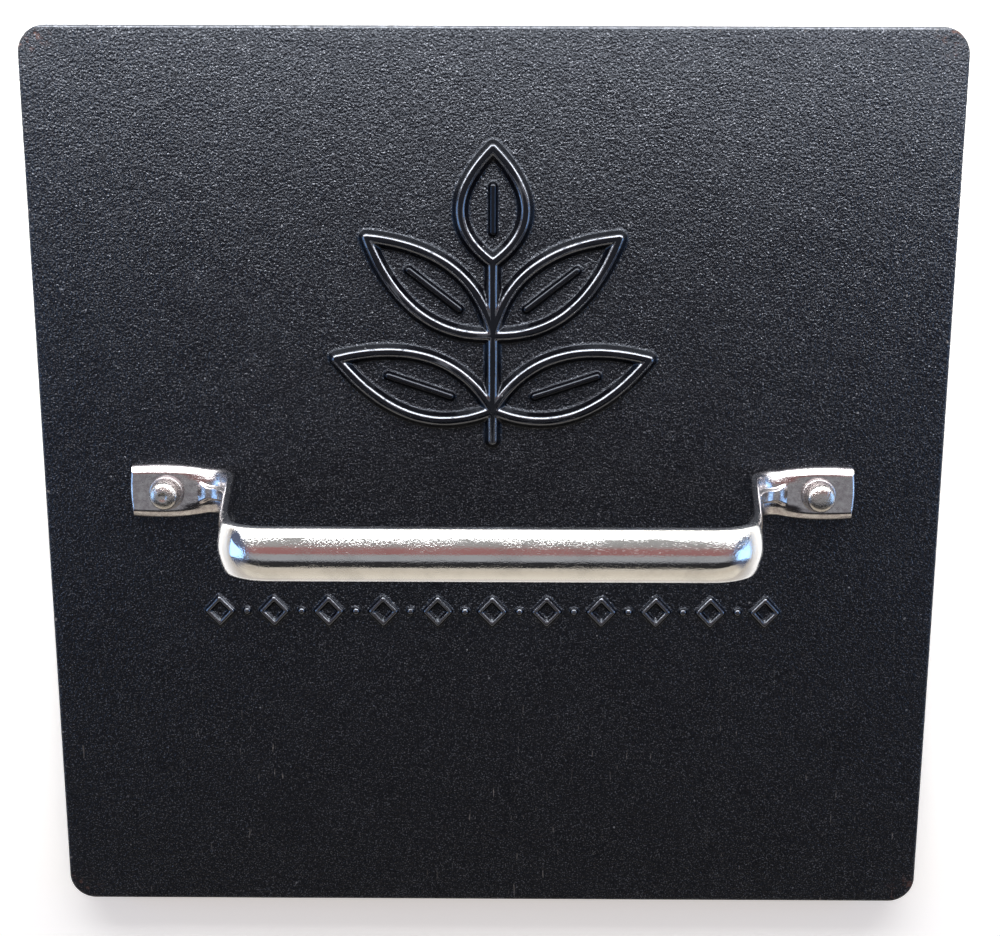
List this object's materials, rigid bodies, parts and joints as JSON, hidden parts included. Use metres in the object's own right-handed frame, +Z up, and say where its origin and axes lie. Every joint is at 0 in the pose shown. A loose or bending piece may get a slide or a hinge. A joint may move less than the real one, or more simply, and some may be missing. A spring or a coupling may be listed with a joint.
{
  "type": "grill press",
  "caption": "Square flat cast iron grill press with a ridged underside, a raised leaf ornament on top and a rigid chromed bow handle riveted across its middle.",
  "frame": {"origin": "middle of the surface the press lies on, ridges down", "axes": "+Z up through the handle, X along the handle, +Y towards the edge nearest the raised leaf ornament"},
  "size_m": [0.2286, 0.2286, 0.0712],
  "materials": {
    "enamelled_iron": "glossy black enamel over sand-cast iron",
    "chromed_sheet": "polished chrome plate, lightly scratched",
    "fastener_steel": "bright plated steel"
  },
  "bodies": {
    "root": {"press_plate": "enamelled_iron", "handle": "chromed_sheet", "washer_left": "fastener_steel", "washer_right": "fastener_steel", "rivet_left": "fastener_steel", "rivet_right": "fastener_steel"}
  },
  "joints": []
}
